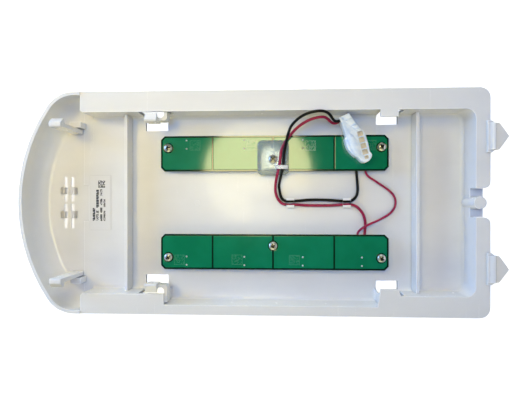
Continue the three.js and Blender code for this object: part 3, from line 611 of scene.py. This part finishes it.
def smooth_route(points, steps):
    """Points along the centripetal Catmull-Rom curve through the given ones."""
    given = [Vector(p) for p in points]
    ends = [2 * given[0] - given[1], *given, 2 * given[-1] - given[-2]]
    line = []
    for a, b, c, d in zip(ends, ends[1:], ends[2:], ends[3:]):
        before, here, after = (math.sqrt((q - p).length) for p, q in ((a, b), (b, c), (c, d)))
        leave = ((b - a) / before - (c - a) / (before + here) + (c - b) / here) * here
        arrive = ((c - b) / here - (d - b) / (here + after) + (d - c) / after) * here
        for i in range(steps):
            t = i / steps
            line.append(
                (2 * t**3 - 3 * t**2 + 1) * b + (t**3 - 2 * t**2 + t) * leave
                + (3 * t**2 - 2 * t**3) * c + (t**3 - t**2) * arrive
            )
    return [*line, given[-1]]


def add_cord(name, route, diameter, slot, node):
    """A round cord along its route, which is the one that its CAD node follows."""
    line = smooth_route(route, 6)
    curve = bpy.data.curves.new(name, "CURVE")
    curve.dimensions = "3D"
    curve.bevel_depth = diameter / 2 * MM
    curve.bevel_resolution = 5
    curve.use_fill_caps = True
    spline = curve.splines.new("POLY")
    spline.points.add(len(line) - 1)
    for point, place in zip(spline.points, line):
        point.co = (*(place * MM), 1)
    spline.use_smooth = True
    cord = link(bpy.data.objects.new(name, curve))
    curve.materials.append(looks[slot])
    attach(cord, COVER)
    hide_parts(node)


# ---- Mesh helpers -------------------------------------------------------------------------------

def plain_piece(obj, material):
    """Gives a new piece its material, and lets it ride on the cover."""
    obj.data.materials.clear()
    obj.data.materials.append(material)
    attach(obj, COVER)


def finished(obj, slot, node):
    """Finishes a new piece that stands for a CAD node."""
    plain_piece(obj, looks[slot])
    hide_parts(node)


def from_bmesh(name, bm):
    bmesh.ops.recalc_face_normals(bm, faces=bm.faces)
    mesh = bpy.data.meshes.new(name)
    bm.to_mesh(mesh)
    bm.free()
    return link(bpy.data.objects.new(name, mesh))


def add_prism(bm, outline, low, high):
    """Adds an upright prism over a flat outline, in millimetres."""
    bottom = [bm.verts.new(mm((x, y, low))) for x, y in outline]
    top = [bm.verts.new(mm((x, y, high))) for x, y in outline]
    bm.faces.new(bottom[::-1])
    bm.faces.new(top)
    for i in range(len(outline)):
        j = (i + 1) % len(outline)
        bm.faces.new((bottom[i], bottom[j], top[j], top[i]))


def prism(name, outline, low, high):
    bm = bmesh.new()
    add_prism(bm, outline, low, high)
    return from_bmesh(name, bm)


def rectangle(x, y):
    return [(x[0], y[0]), (x[1], y[0]), (x[1], y[1]), (x[0], y[1])]


def turned(name, profile, segments):
    """A solid of revolution about Z from (radius, height) pairs that start and end on the axis."""
    bm = bmesh.new()
    angles = [2 * math.pi * i / segments for i in range(segments)]
    rings = []
    for radius, height in profile:
        places = [(radius * math.cos(a), radius * math.sin(a), height) for a in angles]
        if radius == 0:
            places = places[:1]
        rings.append([bm.verts.new(mm(place)) for place in places])
    for lower, upper in zip(rings, rings[1:]):
        for i in range(segments):
            j = (i + 1) % segments
            corners = [lower[i % len(lower)], lower[j % len(lower)]]
            corners += [upper[j % len(upper)], upper[i % len(upper)]]
            bm.faces.new(list(dict.fromkeys(corners)))
    return from_bmesh(name, bm)


def apply_modifiers(obj):
    """Replaces an object's mesh by what its modifiers make of it."""
    graph = bpy.context.evaluated_depsgraph_get()
    mesh = bpy.data.meshes.new_from_object(obj.evaluated_get(graph))
    obj.modifiers.clear()
    obj.data = mesh


def combine(obj, tools, operation):
    """Cuts the tools from obj, or joins them to it, and removes them."""
    for tool in tools:
        modifier = obj.modifiers.new("combine", "BOOLEAN")
        modifier.operation = operation
        modifier.solver = "EXACT"
        modifier.object = tool
        apply_modifiers(obj)
        bpy.data.objects.remove(tool)


def shade_smooth(mesh):
    """Smooth shading without the normals that came with the mesh."""
    if "custom_normal" in mesh.attributes:
        mesh.attributes.remove(mesh.attributes["custom_normal"])
    mesh.shade_smooth()


def smooth(obj, angle):
    """Smooth shading that keeps edges sharper than the angle."""
    shade_smooth(obj.data)
    obj.data.set_sharp_from_angle(angle=math.radians(angle))


def soften(obj, width, segments=2, angle=35):
    """Rounds every edge sharper than the angle a little, and keeps large faces flat."""
    weld = obj.modifiers.new("weld", "WELD")
    weld.merge_threshold = 0.002 * MM
    flatten = obj.modifiers.new("flatten", "DECIMATE")
    flatten.decimate_type = "DISSOLVE"
    flatten.angle_limit = math.radians(0.6)
    bevel = obj.modifiers.new("edges", "BEVEL")
    bevel.width = width * MM
    bevel.segments = segments
    bevel.limit_method = "ANGLE"
    bevel.angle_limit = math.radians(angle)
    bevel.use_clamp_overlap = True
    normals = obj.modifiers.new("normals", "WEIGHTED_NORMAL")
    normals.mode = "FACE_AREA"
    normals.weight = 80
    shade_smooth(obj.data)


# ---- CAD nodes that keep their shape ------------------------------------------------------------

EDGE_WIDTHS = {
    "cover_shell": 0.3, "tall_hook": 0.45, "side_hook": 0.35, "led_board": 0.15, "lens_strip": 0.2,
    "wire_header": 0.25, "led_upper": 0.12, "led_lower": 0.12, "lead_tie": 0.22, "wire_clip": 0.18,
    "plug_contact": 0.08, "front_badge": 0.18, "rating_label": 0.04,
}


def dress_nodes():
    """Gives every CAD node its slot's material, and softens the edges of those that stay visible."""
    record_slots = {part["node"]: part["material_slot"] for part in frame["record"]["subparts"]}
    for name, node in nodes.items():
        node.data.materials.clear()
        node.data.materials.append(looks[record_slots[name]])
        for start, width in EDGE_WIDTHS.items():
            if name.startswith(start):
                soften(node, width)


# ---- Screws -------------------------------------------------------------------------------------

def recess_arm(angle):
    """One arm of a Phillips recess, narrower at its bottom."""
    half_x, half_y = ARM_HALF
    outline = rectangle((-half_x, half_x), (-half_y, half_y))
    arm = prism("recess", outline, ARM_FLOOR, HEAD_H + ARM_FLOOR)
    for vertex in arm.data.vertices:
        if vertex.co.z < HEAD_H * MM:
            vertex.co.x *= ARM_TAPER[0]
            vertex.co.y *= ARM_TAPER[1]
    arm.data.transform(Matrix.Rotation(angle, 4, "Z"))
    return arm


def add_screws():
    """Pan-head screws with a Phillips recess, each turned as it happened to be driven."""
    turns = random.Random(7)
    for name in [n for n in nodes if n.startswith("screw_")]:
        low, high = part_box(name)
        seat = high.z / MM - HEAD_H
        foot = low.z / MM - seat
        profile = [
            (0, foot), (0.5, foot), (SHANK_R, foot + 1.2), (SHANK_R, 0), (HEAD_R - 0.12, 0),
            (HEAD_R, 0.12), (HEAD_R, 0.75), (HEAD_R * 0.96, 1.08), (HEAD_R * 0.86, 1.42),
            (HEAD_R * 0.7, 1.72), (HEAD_R * 0.5, 1.9), (HEAD_R * 0.25, 1.98), (0, HEAD_H),
        ]
        screw = turned(f"{name}_driven", profile, 40)
        combine(screw, [recess_arm(0), recess_arm(math.pi / 2)], "DIFFERENCE")
        place = Matrix.Translation(((low.x + high.x) / 2, (low.y + high.y) / 2, seat * MM))
        screw.data.transform(place @ Matrix.Rotation(turns.uniform(0, math.pi / 2), 4, "Z"))
        smooth(screw, 40)
        finished(screw, "screw_steel", name)


# ---- Retainer -----------------------------------------------------------------------------------

def rounded(x, y, radius, steps=6):
    """A rectangle with round corners, anticlockwise from its lower right corner."""
    outline = []
    for corner_x, corner_y, start in (
        (x[1] - radius, y[0] + radius, -90), (x[1] - radius, y[1] - radius, 0),
        (x[0] + radius, y[1] - radius, 90), (x[0] + radius, y[0] + radius, 180),
    ):
        for i in range(steps + 1):
            angle = math.radians(start + 90 * i / steps)
            outline.append((corner_x + radius * math.cos(angle), corner_y + radius * math.sin(angle)))
    return outline


def add_retainer():
    """The clear plate with its round corners, and a collar round the screw."""
    low, high = (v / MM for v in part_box("board_retainer"))
    top = high.z - RING_H
    plate = prism("retainer_plate", rounded((low.x, high.x), (low.y, high.y), RETAINER_R), low.z, top)
    soften(plate, RETAINER_EDGE, 3)
    apply_modifiers(plate)
    at = Matrix.Translation(mm((MID_SCREW.x, MID_SCREW.y, 0)))
    foot = low.z + 0.4
    ring = turned("ring", [(0, foot), (RING_R[0], foot), (RING_R[1], high.z), (0, high.z)], 32)
    ring.data.transform(at)
    combine(plate, [ring], "UNION")
    below = low.z - 1
    above = high.z + 1
    hole = turned("hole", [(0, below), (SCREW_HOLE_R, below), (SCREW_HOLE_R, above), (0, above)], 24)
    hole.data.transform(at)
    combine(plate, [hole], "DIFFERENCE")
    smooth(plate, 25)
    finished(plate, "clear_plastic", "board_retainer")


# ---- Plug ---------------------------------------------------------------------------------------

def place_plug(obj):
    """Moves a piece from the plug's own axes to its place on the cover."""
    turn = Matrix.Rotation(math.radians(PLUG_TURN), 4, "Z")
    obj.data.transform(Matrix.Translation(mm((*PLUG_CORNER, 0))) @ turn)


def skewed(x, y):
    """A place along the skewed row of open ways, in the plug's own axes."""
    angle = math.radians(PLUG_SKEW)
    return (
        FIRST_WAY[0] + x * math.cos(angle) - y * math.sin(angle),
        FIRST_WAY[1] + x * math.sin(angle) + y * math.cos(angle),
    )


def open_ways(inset, low, high):
    """The open ways of the plug, each smaller by the inset all round."""
    bm = bmesh.new()
    for step, size in [(i, WAY_SIZE) for i in range(FULL_WAYS)] + [(LAST_WAY, LAST_WAY_SIZE)]:
        half_x, half_y = size[0] / 2 - inset, size[1] / 2 - inset
        corners = rectangle((-half_x, half_x), (-half_y, half_y))
        add_prism(bm, [skewed(step * WAY_PITCH + x, y) for x, y in corners], low, high)
    return from_bmesh("open_ways", bm)


def wire_bore(row):
    """A hole in the plug's rear, where one wire enters."""
    bore = turned("wire_bore", [(0, -2), (WIRE_BORE_R, -2), (WIRE_BORE_R, 3), (0, 3)], 20)
    place = Matrix.Translation(mm((MATING_FIRST, 0, row)))
    bore.data.transform(place @ Matrix.Rotation(-math.pi / 2, 4, "X"))
    return bore


def mating_way(place, row):
    """A square way in the plug's mating face."""
    x = (place - MATING_HALF, place + MATING_HALF)
    return prism("mating_way", rectangle(x, MATING_Y), row - MATING_HALF, row + MATING_HALF)


def add_plug():
    """A nylon plug: a smooth rear part, three rounded latch lumps and a row of ways open to the top."""
    body = prism("plug_block", PLUG_OUTLINE, PLUG_Z, PLUG_TOP)
    soften(body, 0.7, 3, 25)
    apply_modifiers(body)
    for outline in PLUG_LUMPS:
        lump = prism("lump", outline, PLUG_TOP - 2, PLUG_TOP + 0.7)
        soften(lump, 0.65, 3)
        apply_modifiers(lump)
        combine(body, [lump], "UNION")
    bpy.ops.mesh.primitive_uv_sphere_add(segments=32, ring_count=16, radius=MM)
    dome = bpy.context.object
    dome.data.transform(Matrix.Translation(mm(PLUG_DOME_AT)) @ Matrix.Diagonal((*PLUG_DOME_SIZE, 1)))
    combine(body, [dome], "UNION")
    holes = []
    for row in WIRE_ROWS:
        holes.append(wire_bore(row))
        holes += [mating_way(MATING_FIRST + i * MATING_PITCH, row) for i in range(MATING_COUNT)]
    combine(body, holes, "DIFFERENCE")
    combine(body, [open_ways(0, PLUG_TOP - WAY_DEPTH, PLUG_TOP + 2)], "DIFFERENCE")
    smooth(body, 32)
    place_plug(body)
    finished(body, "nylon", "plug_housing")
    return body


def add_way_lining():
    """Thin walls and floors inside the plug's open ways."""
    floor = PLUG_TOP - WAY_DEPTH
    lining = open_ways(LINING_GAP, floor, PLUG_TOP - 0.3)
    lining.name = "plug_way_lining"
    combine(lining, [open_ways(LINING_T, floor + 0.3, PLUG_TOP + 1)], "DIFFERENCE")
    place_plug(lining)
    plain_piece(lining, lining_look())


# ---- Solder joints and print --------------------------------------------------------------------

def add_solder():
    """Two rounded joints beside each LED."""
    solder = metal_look("solder", (0.80, 0.80, 0.78), 0.3)
    profile = [(0, -0.02), (0.62, -0.02), (0.6, 0.05), (0.42, 0.17), (0.24, 0.33), (0.1, 0.42), (0, 0.44)]
    for side, sign in SIDES:
        bm = bmesh.new()
        for x in LED_X:
            for y in JOINT_Y:
                dome = turned("joint", profile, 16)
                dome.data.transform(Matrix.Translation(mm((x, sign * y, BOARD_TOP))))
                bm.from_mesh(dome.data)
                bpy.data.objects.remove(dome)
        joints = from_bmesh(f"solder_{side}", bm)
        smooth(joints, 50)
        plain_piece(joints, solder)


def add_code(bm, x, y, chances):
    """A grid of small square dots, some of them left out, with a full outer row all round."""
    columns, rows = CODE_DOTS
    half = DOT_SIZE / 2
    for i in range(columns):
        for j in range(rows):
            at_edge = i in (0, columns - 1) or j in (0, rows - 1)
            if not at_edge and chances.random() > DOT_SHARE:
                continue
            dot_x = x + CODE_SIZE[0] * i / (columns - 1)
            dot_y = y + CODE_SIZE[1] * j / (rows - 1)
            dot = rectangle((dot_x - half, dot_x + half), (dot_y - half, dot_y + half))
            add_prism(bm, dot, BOARD_TOP, BOARD_TOP + INK_T)


def add_board_print():
    """Dotted codes beside the LEDs: bright beside the two middle upper ones, faint elsewhere."""
    chances = random.Random(11)
    for name, color, places in (
        ("print_bright", (0.50, 0.66, 0.54), BRIGHT_CODES),
        ("print_faint", (0.10, 0.34, 0.20), FAINT_CODES),
    ):
        bm = bmesh.new()
        for x, y in places:
            add_code(bm, x, y, chances)
        plain_piece(from_bmesh(name, bm), ink_look(name, color))


def add_cells(bm, x, y, counts, filled, low):
    """Thin blocks on those cells of a grid for which filled(column, row) is true."""
    wide = (x[1] - x[0]) / counts[0]
    tall = (y[1] - y[0]) / counts[1]
    for i in range(counts[0]):
        for j in range(counts[1]):
            if filled(i, j):
                cell_x = (x[0] + i * wide, x[0] + (i + 1) * wide)
                cell_y = (y[0] + j * tall, y[0] + (j + 1) * tall)
                add_prism(bm, rectangle(cell_x, cell_y), low, low + INK_T)


def add_label_print():
    """A square code block and four columns of blocks that stand for text, running up the label."""
    chances = random.Random(5)
    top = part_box("rating_label")[1].z / MM
    bm = bmesh.new()

    def in_code(i, j):
        return i == 0 or j == 0 or chances.random() < LABEL_SHARE

    add_cells(bm, *LABEL_CODE, (LABEL_CELLS, LABEL_CELLS), in_code, top)
    for x, y, pitch, share in LABEL_LINES:
        place = y[0]
        while place + pitch <= y[1]:
            if chances.random() >= SPACE_CHANCE:
                block_y = (place, place + pitch * BLOCK_SHARE)
                add_cells(bm, x, block_y, BLOCK_CELLS, lambda *_: chances.random() < share, top)
            place += pitch
    plain_piece(from_bmesh("label_print", bm), ink_look("print_black", (0.004, 0.004, 0.005)))


add_floor()
add_phone()
dress_nodes()
add_screws()
add_retainer()
plug = add_plug()
add_way_lining()
add_solder()
add_board_print()
add_label_print()
add_cord("black_lead_wire", BLACK_ROUTE, LEAD_D, "black_insulation", "black_lead")
add_cord("red_lead_wire", RED_ROUTE, LEAD_D, "red_insulation", "red_lead")
add_cord("red_jumper_wire", JUMPER_ROUTE, JUMPER_D, "red_insulation", "red_jumper")
